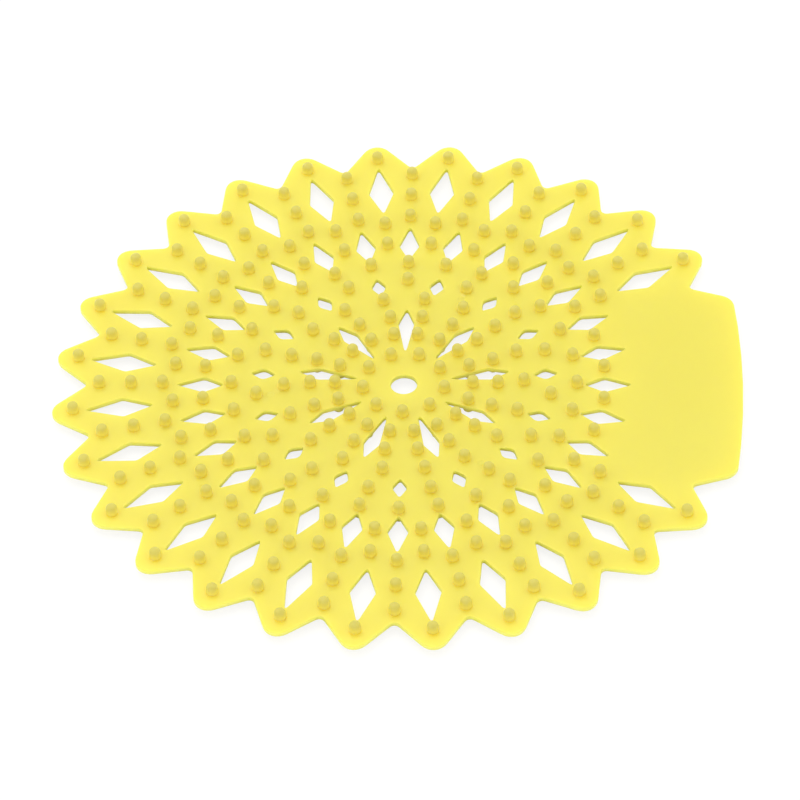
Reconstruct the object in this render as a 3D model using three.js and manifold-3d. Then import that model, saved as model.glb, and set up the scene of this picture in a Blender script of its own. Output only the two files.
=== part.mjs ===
// Urinal deodorizer screen: one soft sheet moulded in one piece, millimetres, +Z up.
// A sun-shaped lattice lies flat with a plain finger tab on +X. Rings of rhomb-shaped drain holes
// run through it, and rows of small pegs stand on both faces. The pegs under the sheet carry it
// clear of the drain, and the pegs on top break up the splash.

import * as THREE from 'three';
import { ConvexGeometry } from 'three/addons/geometries/ConvexGeometry.js';
import { mergeGeometries, mergeVertices } from 'three/addons/utils/BufferGeometryUtils.js';
import Module from 'manifold-3d';

// Sheet
const sheetThickness = 1.4;
const rimPitches = 28; // equal steps of the rim pattern in one turn
const tabPitches = 4; // steps of the rim that the finger tab takes up
const tipRadius = 93.0; // from the centre to the crown of a rounded tip
const tipRounding = 4.2;
const notchDepth = 9.5; // from the crown of a tip in to the corner between two tips
const notchRounding = 1.5;
const notchRadius = tipRadius - notchDepth;

// Finger tab
const tabReach = 89.3; // from the centre to the middle of the tab's end
const tabEndHalfWidth = 32.5;
const tabEndRadius = 255; // the end is slightly bowed
const tabCornerRounding = 4.3;

// Holes
const centreHoleRadius = 3.5;
const holeRounding = 0.45; // at the sharp ends of the two outer rings of holes
const holeToTip = 8.3; // from the end of a rim rhomb to the crown of its tip

// Pegs
const pegBaseRadius = 1.6;
const pegEndRadius = 1.4;
const topPegHeight = 2.8;
const footPegHeight = 2.0;
const pegRoot = 0.4; // how deep a peg's root reaches into the sheet
const pegToTip = 5.6; // from the axis of the outermost pegs to the crown of their tips
const pegToNotch = 2.9; // from the axis of the pegs inside the notches to those corners
const notchPegRadius = notchRadius - pegToNotch;
const spokePegRadius = 63.8; // innermost pegs on the spokes that lead to the notches
const topPegSides = 5;
const footPegSides = 4;

// Ejector marks
const markRadius = 1.0;
const markDepth = 0.2;
const markSides = 6;

// Degrees from a tip to the notch beside it. Rings with a copy on each tip start at this angle.
const halfPitch = 180 / rimPitches;

// Each ring of rhombs: where it starts, is widest and ends, measured from the centre, and its width.
const holeRings = [
  { name: 'petals', count: 9, first: 90, inner: 11.3, widest: 22.9, outer: 28.7, width: 4.3 },
  { name: 'small rhombs', count: 15, first: -90, inner: 34.2, widest: 37.5, outer: 41.0, width: 4.2 },
  {
    name: 'middle rhombs', count: rimPitches, first: 0, inner: 47.4, widest: 52.9, outer: 60.5,
    width: 5.6, rounded: true,
  },
  {
    name: 'rim rhombs', count: rimPitches, first: halfPitch, inner: 65.9, widest: 74.2,
    outer: tipRadius - holeToTip, width: 6.9, rounded: true, besideTab: true,
  },
];

// Each ring of pegs: its radius, how many a full turn holds and the angle of the first.
const pegRings = [
  { radius: 10.9, count: 9, first: -90 },
  { radius: 18.2, count: 18, first: 0 },
  { radius: 24.8, count: 18, first: 0 },
  { radius: 31.7, count: 18, first: 1.5 },
  { radius: 39.0, count: 15, first: -78 },
  { radius: 45.6, count: rimPitches, first: 0 },
  { radius: 53.1, count: rimPitches, first: halfPitch },
  { radius: 61.1, count: rimPitches, first: halfPitch, besideTab: true },
  { radius: spokePegRadius, count: rimPitches, first: 0, besideTab: true },
  { radius: (spokePegRadius + notchPegRadius) / 2, count: rimPitches, first: 0, besideTab: true },
  { radius: notchPegRadius, count: rimPitches, first: 0, besideTab: true },
  { radius: tipRadius - pegToTip, count: rimPitches, first: halfPitch, besideTab: true },
];

// The three marks lie on the spokes of the fifth ring of pegs, a third of a turn apart.
const markRing = { radius: 35.4, count: 3, first: -54 };

const yellow = '#fbec6c';

// Lower and upper face of the sheet: the ends of the foot pegs lie at zero.
const sheetBottom = footPegHeight;
const sheetTop = sheetBottom + sheetThickness;
const pitch = (2 * Math.PI) / rimPitches;
const tabHalfAngle = (tabPitches / 2) * pitch;

function polar(radius, angle) {
  return new THREE.Vector2(radius * Math.cos(angle), radius * Math.sin(angle));
}

// Angles of a ring's copies. A ring that reaches the rim leaves out those that fall on the tab.
function ringAngles({ count, first, besideTab = false }) {
  const angles = [];
  for (let i = 0; i < count; i += 1) {
    const angle = THREE.MathUtils.degToRad(first + (i * 360) / count);
    const fromTab = Math.abs(Math.atan2(Math.sin(angle), Math.cos(angle)));
    if (!besideTab || fromTab > tabHalfAngle + pitch / 4) angles.push(angle);
  }
  return angles;
}

// Replaces a corner by a tangent arc of the given radius.
function roundedCorner(before, corner, after, radius, segments) {
  const toBefore = before.clone().sub(corner).normalize();
  const toAfter = after.clone().sub(corner).normalize();
  const halfAngle = Math.acos(THREE.MathUtils.clamp(toBefore.dot(toAfter), -1, 1)) / 2;
  const tangentLength = radius / Math.tan(halfAngle);
  const middle = toBefore.clone().add(toAfter).normalize();
  const arcCentre = corner.clone().addScaledVector(middle, radius / Math.sin(halfAngle));
  const start = corner.clone().addScaledVector(toBefore, tangentLength).sub(arcCentre);
  const end = corner.clone().addScaledVector(toAfter, tangentLength).sub(arcCentre);
  const sweep = Math.atan2(start.cross(end), start.dot(end));
  const points = [];
  for (let i = 0; i <= segments; i += 1) {
    const point = start.clone().rotateAround(new THREE.Vector2(), (sweep * i) / segments);
    points.push(point.add(arcCentre));
  }
  return points;
}

// Turns a list of corners, each with its own rounding, into the points of a closed outline.
function roundedOutline(corners) {
  return corners.flatMap(({ at, rounding = 0, segments = 1 }, i) => {
    if (rounding === 0) return [at];
    const before = corners[(i + corners.length - 1) % corners.length].at;
    const after = corners[(i + 1) % corners.length].at;
    return roundedCorner(before, at, after, rounding, segments);
  });
}

// Radius at which two straight flanks would meet, so that the rounded tip ends at tipRadius.
function sharpTipRadius() {
  let sharp = tipRadius;
  for (let i = 0; i < 20; i += 1) {
    const notch = polar(notchRadius, pitch / 2);
    const halfAngle = Math.atan2(notch.y, sharp - notch.x);
    sharp = tipRadius + tipRounding / Math.sin(halfAngle) - tipRounding;
  }
  return sharp;
}

function tabCorners() {
  const bowAt = (y) => tabReach - tabEndRadius + Math.sqrt(tabEndRadius ** 2 - y ** 2);
  const corners = [];
  for (const share of [-1, -0.66, -0.33, 0, 0.33, 0.66, 1]) {
    const y = share * tabEndHalfWidth;
    const rounding = Math.abs(share) === 1 ? tabCornerRounding : 0;
    corners.push({ at: new THREE.Vector2(bowAt(y), y), rounding, segments: 5 });
  }
  return corners;
}

// The rim runs once round: notch, tip, notch, with the tab between its first and last notch.
function rimCorners() {
  const corners = tabCorners();
  const apexRadius = sharpTipRadius();
  const tips = rimPitches - tabPitches;
  for (let i = 0; i <= tips; i += 1) {
    const notchAngle = tabHalfAngle + i * pitch;
    corners.push({ at: polar(notchRadius, notchAngle), rounding: notchRounding, segments: 1 });
    if (i < tips) {
      corners.push({ at: polar(apexRadius, notchAngle + pitch / 2), rounding: tipRounding, segments: 4 });
    }
  }
  return corners;
}

function rhombHole(ring, angle) {
  const across = polar(ring.width / 2, angle + Math.PI / 2);
  const rounding = ring.rounded ? holeRounding : 0;
  return roundedOutline([
    { at: polar(ring.inner, angle), rounding },
    { at: polar(ring.widest, angle).sub(across) },
    { at: polar(ring.outer, angle), rounding },
    { at: polar(ring.widest, angle).add(across) },
  ]);
}

function makeSheet() {
  const outline = new THREE.Shape(roundedOutline(rimCorners()));
  const centreHole = new THREE.Path();
  centreHole.absarc(0, 0, centreHoleRadius, 0, 2 * Math.PI, true);
  outline.holes.push(centreHole);
  for (const ring of holeRings) {
    for (const angle of ringAngles(ring)) outline.holes.push(new THREE.Path(rhombHole(ring, angle)));
  }
  const sheet = new THREE.ExtrudeGeometry(outline, {
    depth: sheetThickness,
    bevelEnabled: false,
    curveSegments: 6,
  });
  return sheet.translate(0, 0, sheetBottom);
}

function ringOfPoints(radius, z, sides) {
  const points = [];
  for (let i = 0; i < sides; i += 1) {
    const { x, y } = polar(radius, (2 * Math.PI * i) / sides);
    points.push(new THREE.Vector3(x, y, z));
  }
  return points;
}

// One tapered peg that stands on +Z, with its root below zero.
function makePeg(height, sides) {
  const taper = (pegBaseRadius - pegEndRadius) / height;
  const rootRadius = pegBaseRadius + taper * pegRoot;
  return new ConvexGeometry([
    ...ringOfPoints(rootRadius, -pegRoot, sides),
    ...ringOfPoints(pegEndRadius, height, sides),
  ]);
}

function ringCopies(piece, rings) {
  const copies = [];
  for (const ring of rings) {
    for (const angle of ringAngles(ring)) {
      copies.push(piece.clone().translate(ring.radius, 0, 0).rotateZ(angle));
    }
  }
  return mergeGeometries(copies);
}

function makeTopPegs() {
  return ringCopies(makePeg(topPegHeight, topPegSides), pegRings).translate(0, 0, sheetTop);
}

function makeFootPegs() {
  const foot = makePeg(footPegHeight, footPegSides).rotateX(Math.PI).translate(0, 0, sheetBottom);
  return ringCopies(foot, pegRings);
}

// Shallow round ejector marks, cut into the upper face.
function makeMarks() {
  const cutter = new ConvexGeometry([
    ...ringOfPoints(markRadius, sheetTop - markDepth, markSides),
    ...ringOfPoints(markRadius, sheetTop + markDepth, markSides),
  ]);
  return ringCopies(cutter, [markRing]);
}

const wasm = await Module();
wasm.setup();

function toSolid(geometry) {
  const bare = geometry.clone();
  bare.deleteAttribute('normal');
  bare.deleteAttribute('uv');
  const welded = mergeVertices(bare, 1e-5);
  return new wasm.Manifold(new wasm.Mesh({
    numProp: 3,
    vertProperties: new Float32Array(welded.attributes.position.array),
    triVerts: new Uint32Array(welded.index.array),
  }));
}

function toGeometry(solid) {
  const { vertProperties, triVerts, numProp } = solid.getMesh();
  const positions = new Float32Array(triVerts.length * 3);
  triVerts.forEach((vertex, i) => {
    for (let axis = 0; axis < 3; axis += 1) positions[3 * i + axis] = vertProperties[vertex * numProp + axis];
  });
  const geometry = new THREE.BufferGeometry();
  geometry.setAttribute('position', new THREE.BufferAttribute(positions, 3));
  geometry.computeVertexNormals();
  return geometry;
}

function makeScreen() {
  const sheet = toSolid(makeSheet());
  const moulded = sheet.add(toSolid(makeTopPegs())).add(toSolid(makeFootPegs()));
  const geometry = toGeometry(moulded.subtract(toSolid(makeMarks())));
  const material = new THREE.MeshStandardMaterial({ color: yellow, roughness: 0.45, metalness: 0 });
  const screen = new THREE.Mesh(geometry, material);
  screen.name = 'screen';
  // The tab and the tips reach out unequally, so the sheet is moved to the middle of its own length.
  geometry.computeBoundingBox();
  screen.position.x = -(geometry.boundingBox.min.x + geometry.boundingBox.max.x) / 2;
  return screen;
}

const part = new THREE.Group();
part.name = 'urinal_deodorizer_screen';
part.add(makeScreen());

export default part;
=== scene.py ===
# %% [markdown]
# A urinal deodorizer screen, modelled in Blender.
# The real object is one soft sheet of scented EVA plastic, moulded in a single shot. It has a
# sun-shaped rim, four rings of drain holes, small pegs on both faces and a plain finger tab. This
# lesson draws its outlines flat, fills them to a sheet, thickens it, grows the pegs out of it and
# gives it the look of a slightly translucent yellow plastic.

# %% Load the frame
import math

import bmesh
import bpy
from mathutils import Matrix, Vector


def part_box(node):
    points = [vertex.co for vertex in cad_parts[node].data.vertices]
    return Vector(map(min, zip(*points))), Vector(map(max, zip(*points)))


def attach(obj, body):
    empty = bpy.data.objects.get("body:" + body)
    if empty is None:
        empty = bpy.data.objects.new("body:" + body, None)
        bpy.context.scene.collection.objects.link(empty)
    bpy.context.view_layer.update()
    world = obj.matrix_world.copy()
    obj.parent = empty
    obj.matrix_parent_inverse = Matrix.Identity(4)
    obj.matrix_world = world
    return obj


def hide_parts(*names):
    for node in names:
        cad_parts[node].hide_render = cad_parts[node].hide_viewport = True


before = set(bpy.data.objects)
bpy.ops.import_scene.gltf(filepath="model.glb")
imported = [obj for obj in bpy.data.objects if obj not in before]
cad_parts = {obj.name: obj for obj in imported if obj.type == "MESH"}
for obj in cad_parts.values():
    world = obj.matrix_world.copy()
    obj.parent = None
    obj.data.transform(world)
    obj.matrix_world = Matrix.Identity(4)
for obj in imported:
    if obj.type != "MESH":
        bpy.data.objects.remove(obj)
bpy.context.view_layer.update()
low, high = (Vector(corner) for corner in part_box("screen"))
print("nodes:", list(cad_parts), "size in mm:", [round(1000 * side, 1) for side in high - low])

# %% [markdown]
# The sizes are those of the real screen in millimetres, the same as in the CAD part. Some of
# Blender's mesh tools work to fixed small tolerances, so the sheet is drawn with one unit to the
# millimetre, which keeps its finest points well clear of them, and shrunk to metres at the end. The
# pattern turns about a centre that lies beside the middle of the box, because the tab reaches less
# far out than the tips on the other side.

# %% Main sizes
MM = 0.001
SHEET_THICKNESS = 1.4
FOOT_PEG_HEIGHT = 2.0
SHEET_TOP = FOOT_PEG_HEIGHT + SHEET_THICKNESS
RIM_PITCHES = 28
PITCH = 2 * math.pi / RIM_PITCHES
TAB_PITCHES = 4
TAB_HALF_ANGLE = TAB_PITCHES / 2 * PITCH
TAB_REACH = 89.3
CENTRE_X = high.x - TAB_REACH * MM
print("pattern centre lies", round(1000 * CENTRE_X, 2), "mm beside the middle of the box")

# %% [markdown]
# The holes lie in four rings and the pegs in twelve. A ring needs only its count, the angle of its
# first copy and its radii, so both patterns are written as rules. Rings that reach the rim leave
# out the copies that would fall on the tab.

# %% Rings of holes and pegs
HOLE_RINGS = [
    dict(count=9, first=90, inner=11.3, widest=22.9, outer=28.7, width=4.3),
    dict(count=15, first=-90, inner=34.2, widest=37.5, outer=41.0, width=4.2),
    dict(count=28, first=0, inner=47.4, widest=52.9, outer=60.5, width=5.6),
    dict(count=28, first=180 / 28, inner=65.9, widest=74.2, outer=84.7, width=6.9, beside_tab=True),
]
PEG_RINGS = [
    dict(radius=10.9, count=9, first=-90),
    dict(radius=18.2, count=18, first=0),
    dict(radius=24.8, count=18, first=0),
    dict(radius=31.7, count=18, first=1.5),
    dict(radius=39.0, count=15, first=-78),
    dict(radius=45.6, count=28, first=0),
    dict(radius=53.1, count=28, first=180 / 28),
    dict(radius=61.1, count=28, first=180 / 28, beside_tab=True),
    dict(radius=63.8, count=28, first=0, beside_tab=True),
    dict(radius=72.2, count=28, first=0, beside_tab=True),
    dict(radius=80.6, count=28, first=0, beside_tab=True),
    dict(radius=87.4, count=28, first=180 / 28, beside_tab=True),
]
MARK_RINGS = [dict(radius=35.4, count=3, first=-54)]


def ring_angles(ring):
    for i in range(ring["count"]):
        angle = math.radians(ring["first"] + i * 360 / ring["count"])
        from_tab = abs(math.atan2(math.sin(angle), math.cos(angle)))
        if not ring.get("beside_tab") or from_tab > TAB_HALF_ANGLE + PITCH / 4:
            yield angle


print("holes:", sum(len(list(ring_angles(ring))) for ring in HOLE_RINGS))
print("pegs on each face:", sum(len(list(ring_angles(ring))) for ring in PEG_RINGS))

# %% [markdown]
# Operators act on everything that is selected, so a few helpers choose what they work on. Points
# are picked by where they are, and faces by their number of sides.

# %% Helpers for selecting
def select_only(*objects):
    for other in bpy.context.selected_objects:
        other.select_set(False)
    for obj in objects:
        obj.select_set(True)
    bpy.context.view_layer.objects.active = objects[0]


def edit(obj, mode="FACE"):
    select_only(obj)
    bpy.ops.object.mode_set(mode="EDIT")
    bpy.ops.mesh.select_mode(type=mode)


def leave_edit():
    bpy.ops.object.mode_set(mode="OBJECT")


def pick_points(obj, wanted):
    edit(obj, "VERT")
    bpy.ops.mesh.select_all(action="DESELECT")
    mesh = bmesh.from_edit_mesh(obj.data)
    for point in mesh.verts:
        point.select_set(wanted(point.co))
    bmesh.update_edit_mesh(obj.data)


def pick_faces(obj, wanted):
    edit(obj, "FACE")
    bpy.ops.mesh.select_all(action="DESELECT")
    mesh = bmesh.from_edit_mesh(obj.data)
    for face in mesh.faces:
        face.select_set(wanted(face))
    bmesh.update_edit_mesh(obj.data)
    return sum(face.select for face in mesh.faces)


# %% [markdown]
# A moulding has no sharp corners. A bevel on a corner point asks how far along its two edges the
# arc should start, so the first helper works that length out from the radius that is wanted.

# %% Helper for rounded corners
NEAR = 0.01


def tangent_length(corner, radius):
    arms = [(edge.other_vert(corner).co - corner.co).normalized() for edge in corner.link_edges]
    return radius / math.tan(arms[0].angle(arms[1]) / 2)


def round_corners(obj, wanted, radius, segments):
    pick_points(obj, wanted)
    mesh = bmesh.from_edit_mesh(obj.data)
    corner = next(point for point in mesh.verts if point.select)
    tangent = tangent_length(corner, radius)
    bpy.ops.mesh.bevel(affect="VERTICES", offset=tangent, segments=segments, profile=0.5)
    leave_edit()


print("corners are found to within", NEAR, "mm")

# %% [markdown]
# The rim starts as a circle with two points to each step of the pattern. Every second point is
# pulled out to make a zigzag of tips, and the seven points at +X are moved onto the slightly bowed
# end of the tab. Bevelling the corners then turns them to arcs.
# On corners as sharp as the tips the bevel's curve is a little fuller than a true arc, so what it
# cuts off is worked out by its own rule. The tips reach a hair less far than in the CAD part, so
# that the finished sheet stays inside the CAD part's box.

# %% Draw the rim and the tab
TIP_RADIUS = 92.95
TIP_ROUNDING = 4.2
NOTCH_RADIUS = 83.5
NOTCH_ROUNDING = 1.5
TAB_END_HALF_WIDTH = 32.5
TAB_END_RADIUS = 255
TAB_CORNER_ROUNDING = 4.3
BEYOND_TIPS = 1.02 * TIP_RADIUS
TIP_STEPS = 8
NOTCH_STEPS = 4


def steps_from_tab(place):
    return round(math.atan2(place.y, place.x) / (PITCH / 2))


# A bevel with profile 0.5 cuts off the share 2 - sqrt(2) of its tangent, measured along the middle
# line of the corner. The tip's angle and its length depend on each other, so they are worked out in
# turns.
def sharp_tip_radius():
    cut_off = 2 - math.sqrt(2)
    notch = Vector((math.cos(PITCH / 2), math.sin(PITCH / 2))) * NOTCH_RADIUS
    sharp = TIP_RADIUS
    for _ in range(20):
        half_angle = math.atan2(notch.y, sharp - notch.x)
        tangent = TIP_ROUNDING / math.tan(half_angle)
        sharp = TIP_RADIUS + cut_off * tangent * math.cos(half_angle)
    return sharp


def draw_zigzag():
    bpy.ops.mesh.primitive_circle_add(vertices=2 * RIM_PITCHES, radius=NOTCH_RADIUS, fill_type="NGON")
    rim = bpy.context.object
    rim.name = "rim_outline"
    pick_points(rim, lambda place: steps_from_tab(place) % 2 == 1)
    stretch = sharp_tip_radius() / NOTCH_RADIUS
    bpy.ops.transform.resize(value=(stretch, stretch, 1), center_override=(0, 0, 0))
    leave_edit()
    return rim


def shape_tab(rim):
    tab_steps = TAB_PITCHES - 1
    for point in rim.data.vertices:
        steps = steps_from_tab(point.co)
        if abs(steps) <= tab_steps:
            y = steps / tab_steps * TAB_END_HALF_WIDTH
            point.co.x = TAB_REACH - TAB_END_RADIUS + math.sqrt(TAB_END_RADIUS**2 - y**2)
            point.co.y = y


def at_tab_corner(place):
    return place.x > NOTCH_RADIUS and abs(abs(place.y) - TAB_END_HALF_WIDTH) < NEAR


def at_sharp_tip(place):
    return place.length > BEYOND_TIPS


def at_notch(place):
    return abs(place.length - NOTCH_RADIUS) < NEAR


rim = draw_zigzag()
shape_tab(rim)
round_corners(rim, at_tab_corner, TAB_CORNER_ROUNDING, TIP_STEPS)
round_corners(rim, at_sharp_tip, TIP_ROUNDING, TIP_STEPS)
round_corners(rim, at_notch, NOTCH_ROUNDING, NOTCH_STEPS)
reach = max(point.co.length for point in rim.data.vertices)
print("points on the rim:", len(rim.data.vertices), "farthest from the centre:", round(reach, 2), "mm")

# %% [markdown]
# A drain hole is a four-sided circle pulled to a kite, with its corners slightly rounded as a
# moulding tool leaves them. It is drawn once for each ring and copied round.

# %% Draw the drain holes
CENTRE_HOLE_RADIUS = 3.5
CENTRE_HOLE_POINTS = 32
SHARP_END_ROUNDING = 0.45
WIDE_CORNER_ROUNDING = 1.6
HOLE_STEPS = 3


def copies_round(piece, ring):
    outward = Matrix.Translation((ring.get("radius", 0), 0, 0))
    copies = []
    for angle in ring_angles(ring):
        copy = bpy.data.objects.new(piece.name, piece.data.copy())
        copy.data.transform(Matrix.Rotation(angle, 4, "Z") @ outward)
        bpy.context.collection.objects.link(copy)
        copies.append(copy)
    return copies


def draw_rhomb(ring):
    bpy.ops.mesh.primitive_circle_add(vertices=4, radius=1, fill_type="NGON")
    rhomb = bpy.context.object
    for point in rhomb.data.vertices:
        if abs(point.co.y) > 0.5:
            point.co = (ring["widest"], math.copysign(ring["width"] / 2, point.co.y), 0)
        else:
            point.co = (ring["outer"] if point.co.x > 0 else ring["inner"], 0, 0)
    round_corners(rhomb, lambda place: abs(place.y) > 0.1, WIDE_CORNER_ROUNDING, HOLE_STEPS)
    for end in (ring["outer"], ring["inner"]):
        round_corners(rhomb, lambda place: abs(place.x - end) < NEAR, SHARP_END_ROUNDING, HOLE_STEPS)
    return rhomb


def draw_holes():
    bpy.ops.mesh.primitive_circle_add(
        vertices=CENTRE_HOLE_POINTS, radius=CENTRE_HOLE_RADIUS, fill_type="NGON"
    )
    holes = [bpy.context.object]
    for ring in HOLE_RINGS:
        rhomb = draw_rhomb(ring)
        holes += copies_round(rhomb, ring)
        bpy.data.objects.remove(rhomb)
    return holes


holes = draw_holes()
print("hole outlines:", len(holes))

# %% [markdown]
# Each peg and each ejector mark starts as a round footprint in the sheet. The footprints have
# different numbers of sides, which tells them apart later. A peg's footprint is slightly wider than
# the peg, which leaves room for the hollow at its foot. A plain four-sided panel in the tab keeps
# the fill there from making slivers at the rounded corners.

# %% Draw the footprints
PEG_FOOTPRINT_RADIUS = 1.66
PEG_SIDES = 12
MARK_RADIUS = 1.0
MARK_SIDES = 14
TAB_PANEL = [(80, -27), (85, -29), (85, 29), (80, 27)]


def draw_footprints(radius, sides, rings):
    bpy.ops.mesh.primitive_circle_add(vertices=sides, radius=radius, fill_type="NGON")
    footprint = bpy.context.object
    copies = [copy for ring in rings for copy in copies_round(footprint, ring)]
    bpy.data.objects.remove(footprint)
    return copies


def draw_tab_panel():
    bpy.ops.mesh.primitive_circle_add(vertices=4, radius=1, fill_type="NGON")
    panel = bpy.context.object
    for point, (x, y) in zip(panel.data.vertices, TAB_PANEL):
        point.co = (x, y, 0)
    return panel


tab_panel = draw_tab_panel()
peg_footprints = draw_footprints(PEG_FOOTPRINT_RADIUS, PEG_SIDES, PEG_RINGS)
mark_footprints = draw_footprints(MARK_RADIUS, MARK_SIDES, MARK_RINGS)
print("footprints:", len(peg_footprints), "pegs and", len(mark_footprints), "marks")

# %% [markdown]
# The outlines are joined, the faces inside the rim and the holes are taken away, and one fill
# between all the edges makes the lattice. The footprints keep their own faces. Extruding the whole
# sheet by its thickness gives the walls of the rim and of every hole at once.

# %% Fill the sheet
def join(first, others):
    select_only(first, *others)
    bpy.ops.object.join()
    return first


def remove_faces(obj):
    edit(obj)
    bpy.ops.mesh.select_all(action="SELECT")
    bpy.ops.mesh.delete(type="ONLY_FACE")
    leave_edit()


def fill_sheet():
    outlines = join(rim, holes)
    remove_faces(outlines)
    sheet = join(outlines, [tab_panel] + peg_footprints + mark_footprints)
    sheet.name = "screen_sheet"
    edit(sheet, "EDGE")
    bpy.ops.mesh.select_all(action="SELECT")
    bpy.ops.mesh.fill(use_beauty=True)
    bpy.ops.mesh.select_all(action="SELECT")
    bpy.ops.mesh.normals_make_consistent(inside=False)
    leave_edit()
    return sheet


sheet = fill_sheet()
print("sheet area:", round(sum(face.area for face in sheet.data.polygons) / 100, 1), "square cm")

# %% Thicken the sheet
def thicken(sheet):
    edit(sheet)
    bpy.ops.mesh.select_all(action="SELECT")
    bpy.ops.transform.translate(value=(0, 0, FOOT_PEG_HEIGHT))
    bpy.ops.mesh.extrude_region_move(TRANSFORM_OT_translate={"value": (0, 0, SHEET_THICKNESS)})
    bpy.ops.mesh.select_all(action="SELECT")
    bpy.ops.mesh.normals_make_consistent(inside=False)
    leave_edit()


thicken(sheet)
print("faces in the thickened sheet:", len(sheet.data.polygons))

# %% [markdown]
# A moulded edge is never knife sharp. The edges where a wall meets a flat face get a small round,
# picked by being level and by having one upright face beside them.

# %% Round the edges
EDGE_ROUNDING = 0.2
LEVEL_WITHIN = 1e-4
UPRIGHT_BELOW = 0.5


def round_edges(sheet):
    edit(sheet, "EDGE")
    bpy.ops.mesh.select_all(action="DESELECT")
    mesh = bmesh.from_edit_mesh(sheet.data)
    for edge in mesh.edges:
        level = abs(edge.verts[0].co.z - edge.verts[1].co.z) < LEVEL_WITHIN
        upright = [abs(face.normal.z) < UPRIGHT_BELOW for face in edge.link_faces]
        edge.select_set(level and any(upright) and not all(upright))
    bmesh.update_edit_mesh(sheet.data)
    bpy.ops.mesh.bevel(offset=EDGE_ROUNDING, segments=2, profile=0.5, clamp_overlap=False)
    leave_edit()


round_edges(sheet)
print("faces after rounding:", len(sheet.data.polygons))

# %% [markdown]
# All the pegs of a face grow at once. Insetting every footprint again and again, with a little
# height each time, draws the profile of a peg: a hollow at its foot, a slightly tapered side and a
# rounded end. The pegs on top are longer than the feet. The marks are pressed in the same way. A
# step of a profile is how far it goes inwards and how far upwards, and a peg's first and last steps
# take a fixed part of its height.

# %% Grow the pegs and press in the marks
TOP_PEG_HEIGHT = 2.8
FOOT_STEP = (0.06, 0.10)
DOME_STEPS = [(0.14, 0.50), (0.34, 0.40), (0.62, 0.20)]
SIDE_TAPER = 0.08
MARK_STEPS = [(0.06, -0.08), (0.20, 0.0)]


def peg_steps(height):
    side_height = height - FOOT_STEP[1] - sum(upward for _, upward in DOME_STEPS)
    return [FOOT_STEP, (SIDE_TAPER, side_height)] + DOME_STEPS


def grow(sides, facing, steps):
    def is_footprint(face):
        return len(face.verts) == sides and face.normal.z * facing > 0.5

    count = pick_faces(sheet, is_footprint)
    for inward, upward in steps:
        bpy.ops.mesh.inset(thickness=inward, depth=upward, use_individual=True)
    leave_edit()
    return count


print("pegs on top:", grow(PEG_SIDES, 1, peg_steps(TOP_PEG_HEIGHT)))
print("foot pegs:", grow(PEG_SIDES, -1, peg_steps(FOOT_PEG_HEIGHT)))
print("marks:", grow(MARK_SIDES, 1, MARK_STEPS))

# %% [markdown]
# The sheet now shrinks to metres and moves so that its pattern lies where the CAD part has it.
# Smooth shading would smear light across the long flat faces, so the normals are weighted by face
# area: flat parts stay flat, and only the small rounds turn the light.

# %% Place and smooth the sheet
SMOOTH_ANGLE = math.radians(60)
AREA_WEIGHT = 90


def finish_sheet(sheet):
    sheet.data.transform(Matrix.Translation((CENTRE_X, 0, 0)) @ Matrix.Scale(MM, 4))
    select_only(sheet)
    bpy.ops.object.shade_smooth_by_angle(angle=SMOOTH_ANGLE)
    weighted = sheet.modifiers.new("flat faces stay flat", "WEIGHTED_NORMAL")
    weighted.keep_sharp = True
    weighted.weight = AREA_WEIGHT
    bpy.ops.object.modifier_apply(modifier=weighted.name)


finish_sheet(sheet)
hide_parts("screen")
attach(sheet, "root")
print("triangles in the sheet:", sum(len(face.vertices) - 2 for face in sheet.data.polygons))

# %% [markdown]
# Colours are written as they look on a screen and turned to the linear values that the renderer
# counts in. One small helper adds a node with its settings, values and links.

# %% Helpers for materials
def srgb(hex_colour):
    channels = [int(hex_colour[i : i + 2], 16) / 255 for i in (1, 3, 5)]
    linear = [c / 12.92 if c <= 0.04045 else ((c + 0.055) / 1.055) ** 2.4 for c in channels]
    return (*linear, 1)


def add_node(tree, kind, inputs=None, **settings):
    node = tree.nodes.new(kind)
    for name, value in settings.items():
        setattr(node, name, value)
    for name, value in (inputs or {}).items():
        if isinstance(value, bpy.types.NodeSocket):
            tree.links.new(value, node.inputs[name])
        else:
            node.inputs[name].default_value = value
    return node


def new_material(name):
    material = bpy.data.materials.new(name)
    material.use_nodes = True
    tree = material.node_tree
    tree.nodes.clear()
    return material, tree


print("lemon yellow in linear light:", [round(c, 3) for c in srgb("#fbdb4e")])

# %% [markdown]
# The plastic is EVA, a soft translucent moulding plastic, coloured lemon yellow through and
# through. Light enters it, scatters and comes out a few millimetres away, so the sheet looks as if
# it glowed. Its surface is satin, with a faint unevenness left by the tool.
# The scattered light doesn't make the pegs as deep and the edges as bright as they look on the real
# screen, so height picks painted shade and painted light for them: a peg is painted greener and
# darker than the sheet from its foot up, darkest at its end, as shade on the thick plastic and the
# small ends, and the walls, edges and underside are painted lighter, as light coming through the
# plastic. Two sheet tints drift into each other over 30 mm, as pigment does in a large moulding.
# The tool's grain is finer than a pixel, so it is drawn 2.2 mm coarse.

# %% Tints, painted shade, painted light and sizes of the plastic
SHEET_TINTS = srgb("#fbdb4e"), srgb("#fee158")
# Painted shade: the pegs are darker and greener towards their ends.
PEG_SHADE_TINTS = srgb("#e3d768"), srgb("#c4ba58")
# Painted light: the walls, rounded edges and underside are lighter than the top face.
WALL_LIGHT_TINT = srgb("#fff070")
PEG_SHADE_FULL = (SHEET_TOP + 0.3) * MM
PEG_END_SHADE_FROM = (SHEET_TOP + 0.8) * MM
PEG_END_SHADE_FULL = (SHEET_TOP + 2.4) * MM
WALL_LIGHT_FROM = (SHEET_TOP - 0.05) * MM
WALL_LIGHT_FULL = (SHEET_TOP - 0.3) * MM
CLOUD_SIZE = 30 * MM
GRAIN_SIZE = 2.2 * MM
GRAIN_DEPTH = 0.2 * MM
LIGHT_REACH = 3.8 * MM
print("light travels about", round(LIGHT_REACH / MM, 1), "mm inside the plastic")
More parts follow.
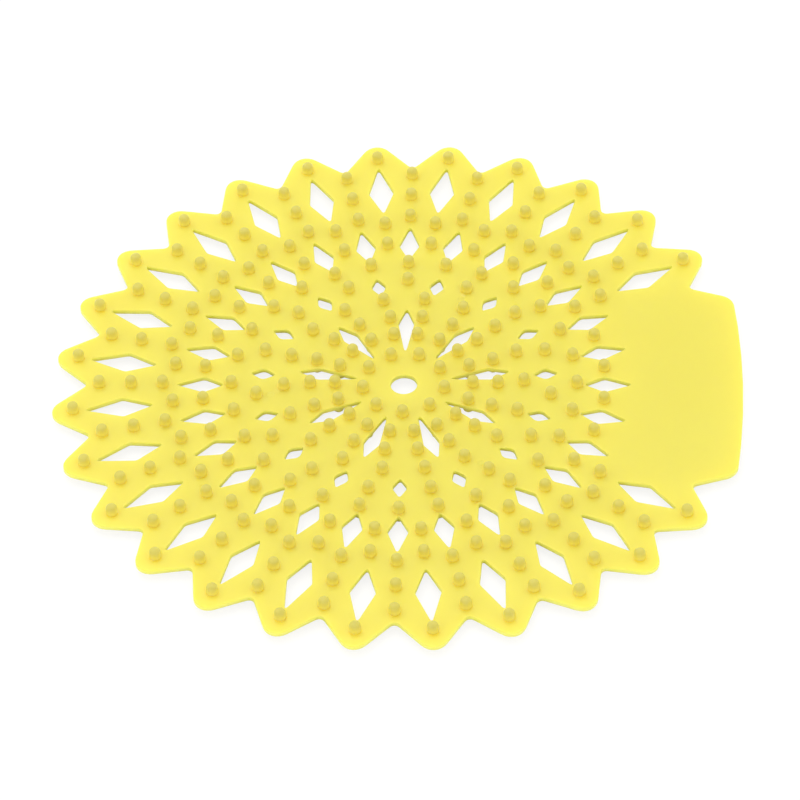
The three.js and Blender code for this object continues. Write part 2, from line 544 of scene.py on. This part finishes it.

# %% Colour of the plastic, with painted shade and painted light
def eva_colour_and_painted_light(tree, place):
    cloud_values = {"Vector": place, "Scale": 1 / CLOUD_SIZE, "Detail": 3.0}
    clouds = add_node(tree, "ShaderNodeTexNoise", cloud_values).outputs["Fac"]
    sheet_mix = {"Factor": clouds, "A": SHEET_TINTS[0], "B": SHEET_TINTS[1]}
    sheet_tint = add_node(tree, "ShaderNodeMix", sheet_mix, data_type="RGBA").outputs["Result"]

    # Painted shade on the pegs, picked by height above the top face.
    height = add_node(tree, "ShaderNodeSeparateXYZ", {"Vector": place}).outputs["Z"]
    end_shade_span = {"Value": height, "From Min": PEG_END_SHADE_FROM, "From Max": PEG_END_SHADE_FULL}
    end_shade = add_node(tree, "ShaderNodeMapRange", end_shade_span).outputs["Result"]
    peg_shade_mix = {"Factor": end_shade, "A": PEG_SHADE_TINTS[0], "B": PEG_SHADE_TINTS[1]}
    peg_shade = add_node(tree, "ShaderNodeMix", peg_shade_mix, data_type="RGBA").outputs["Result"]

    peg_shade_span = {"Value": height, "From Min": SHEET_TOP * MM, "From Max": PEG_SHADE_FULL}
    peg_shade_share = add_node(tree, "ShaderNodeMapRange", peg_shade_span).outputs["Result"]
    upper_shade_mix = {"Factor": peg_shade_share, "A": sheet_tint, "B": peg_shade}
    sheet_and_peg_shade = add_node(tree, "ShaderNodeMix", upper_shade_mix, data_type="RGBA").outputs["Result"]

    # Painted light on the walls, edges and underside, picked by height below the top face.
    wall_light_span = {"Value": height, "From Min": WALL_LIGHT_FROM, "From Max": WALL_LIGHT_FULL}
    wall_light = add_node(tree, "ShaderNodeMapRange", wall_light_span).outputs["Result"]
    painted_light_mix = {"Factor": wall_light, "A": sheet_and_peg_shade, "B": WALL_LIGHT_TINT}
    return add_node(tree, "ShaderNodeMix", painted_light_mix, data_type="RGBA").outputs["Result"]


# %% Moulded EVA plastic
def moulded_eva():
    material, tree = new_material("moulded_yellow_eva")
    place = add_node(tree, "ShaderNodeTexCoord").outputs["Object"]
    grain_values = {"Vector": place, "Scale": 1 / GRAIN_SIZE, "Detail": 2.0}
    grain = add_node(tree, "ShaderNodeTexNoise", grain_values).outputs["Fac"]
    relief_values = {"Height": grain, "Strength": 0.10, "Distance": GRAIN_DEPTH}
    relief = add_node(tree, "ShaderNodeBump", relief_values).outputs["Normal"]
    plastic_values = {
        "Base Color": eva_colour_and_painted_light(tree, place),
        "Roughness": 0.42,
        "IOR": 1.48,
        "Subsurface Weight": 1.0,
        "Subsurface Radius": (1.0, 1.0, 0.7),
        "Subsurface Scale": LIGHT_REACH,
        "Normal": relief,
    }
    plastic = add_node(tree, "ShaderNodeBsdfPrincipled", plastic_values)
    add_node(tree, "ShaderNodeOutputMaterial", {"Surface": plastic.outputs["BSDF"]})
    return material


eva = moulded_eva()
sheet.data.materials.clear()
sheet.data.materials.append(eva)
print("material:", eva.name, "with", len(eva.node_tree.nodes), "nodes")

# %% [markdown]
# The camera stands where the photographer's did: about 45 degrees above the sheet, far away with a
# long lens, turned a little so that the tab points right. Its place was found by fitting the ring
# pattern to the picture, so it is given as a lens length and an aim in pixels of that picture.

# %% Camera
CAMERA_DISTANCE = 1.2726
CAMERA_ELEVATION = math.radians(45.51)
CAMERA_TURN = math.radians(3.43)
CAMERA_ROLL = math.radians(-2.46)
FOCAL_PIXELS = 4824
IMAGE_PIXELS = 800
SENSOR_WIDTH = 36
AIM_OFFSET = (3.9, -15.8)


def place_camera():
    back = Vector((0, -math.cos(CAMERA_ELEVATION), math.sin(CAMERA_ELEVATION)))
    right = Vector((1, 0, 0))
    up = back.cross(right)
    turned = Matrix.Rotation(CAMERA_TURN, 3, "Z")
    rolled_right = turned @ (math.cos(CAMERA_ROLL) * right + math.sin(CAMERA_ROLL) * up)
    rolled_up = turned @ (math.cos(CAMERA_ROLL) * up - math.sin(CAMERA_ROLL) * right)
    back = turned @ back
    pixel = CAMERA_DISTANCE / FOCAL_PIXELS
    place = Vector((CENTRE_X, 0, SHEET_TOP * MM)) + CAMERA_DISTANCE * back
    place += pixel * (AIM_OFFSET[1] * rolled_up - AIM_OFFSET[0] * rolled_right)
    data = bpy.data.cameras.new("photo_camera")
    data.sensor_width = SENSOR_WIDTH
    data.lens = FOCAL_PIXELS / IMAGE_PIXELS * SENSOR_WIDTH
    camera = bpy.data.objects.new("photo_camera", data)
    axes = Matrix((rolled_right, rolled_up, back)).transposed()
    camera.matrix_world = Matrix.Translation(place) @ axes.to_4x4()
    bpy.context.collection.objects.link(camera)
    bpy.context.scene.camera = camera
    return camera


camera = place_camera()
print("lens:", round(camera.data.lens), "mm")

# %% [markdown]
# The floor is plain and pale. To the camera it shows mostly its own white, so that it reads as a
# white background, and the rest of it is lit, so that it keeps the sheet's shadow.

# %% Floor
FLOOR_SIZE = 6
FLOOR_GLOW = 1.06
GLOW_SHARE = 0.78


def white_floor():
    material, tree = new_material("white_floor")
    lit = add_node(tree, "ShaderNodeBsdfDiffuse", {"Color": srgb("#f4f4f2")}).outputs["BSDF"]
    glow_values = {"Color": srgb("#ffffff"), "Strength": FLOOR_GLOW}
    glow = add_node(tree, "ShaderNodeEmission", glow_values).outputs["Emission"]
    seen = add_node(tree, "ShaderNodeLightPath").outputs["Is Camera Ray"]
    share = add_node(tree, "ShaderNodeMath", {0: seen, 1: GLOW_SHARE}, operation="MULTIPLY")
    mixed = add_node(tree, "ShaderNodeMixShader", {0: share.outputs["Value"], 1: lit, 2: glow})
    add_node(tree, "ShaderNodeOutputMaterial", {"Surface": mixed.outputs["Shader"]})
    return material


def lay_floor():
    bpy.ops.mesh.primitive_plane_add(size=FLOOR_SIZE, location=(0, 0, 0))
    floor = bpy.context.object
    floor.name = "floor"
    floor.data.materials.append(white_floor())


lay_floor()
print("floor:", FLOOR_SIZE, "m wide, of its own white to the share", GLOW_SHARE)

# %% [markdown]
# The light is that of a product table: a white surround on all sides, which leaves hardly a shadow,
# and one large soft box behind and above the sheet, which gives the pegs their soft modelling.

# %% Light
SURROUND_STRENGTH = 1.0
SOFT_BOX_PLACE = (-0.25, 0.45, 1.3)
SOFT_BOX_SIZE = 0.9
SOFT_BOX_POWER = 4.5


def pale_surround():
    world = bpy.data.worlds.new("pale_surround")
    world.use_nodes = True
    tree = world.node_tree
    tree.nodes.clear()
    glow_values = {"Color": srgb("#ffffff"), "Strength": SURROUND_STRENGTH}
    glow = add_node(tree, "ShaderNodeBackground", glow_values)
    add_node(tree, "ShaderNodeOutputWorld", {"Surface": glow.outputs["Background"]})
    bpy.context.scene.world = world


def soft_box():
    data = bpy.data.lights.new("overhead_soft_box", "AREA")
    data.shape = "DISK"
    data.size = SOFT_BOX_SIZE
    data.energy = SOFT_BOX_POWER
    lamp = bpy.data.objects.new("overhead_soft_box", data)
    lamp.location = SOFT_BOX_PLACE
    lamp.rotation_euler = Vector(SOFT_BOX_PLACE).to_track_quat("Z", "Y").to_euler()
    bpy.context.collection.objects.link(lamp)


pale_surround()
soft_box()
bpy.context.scene.view_settings.view_transform = "Standard"
print("soft box:", SOFT_BOX_POWER, "W,", SOFT_BOX_SIZE, "m wide")
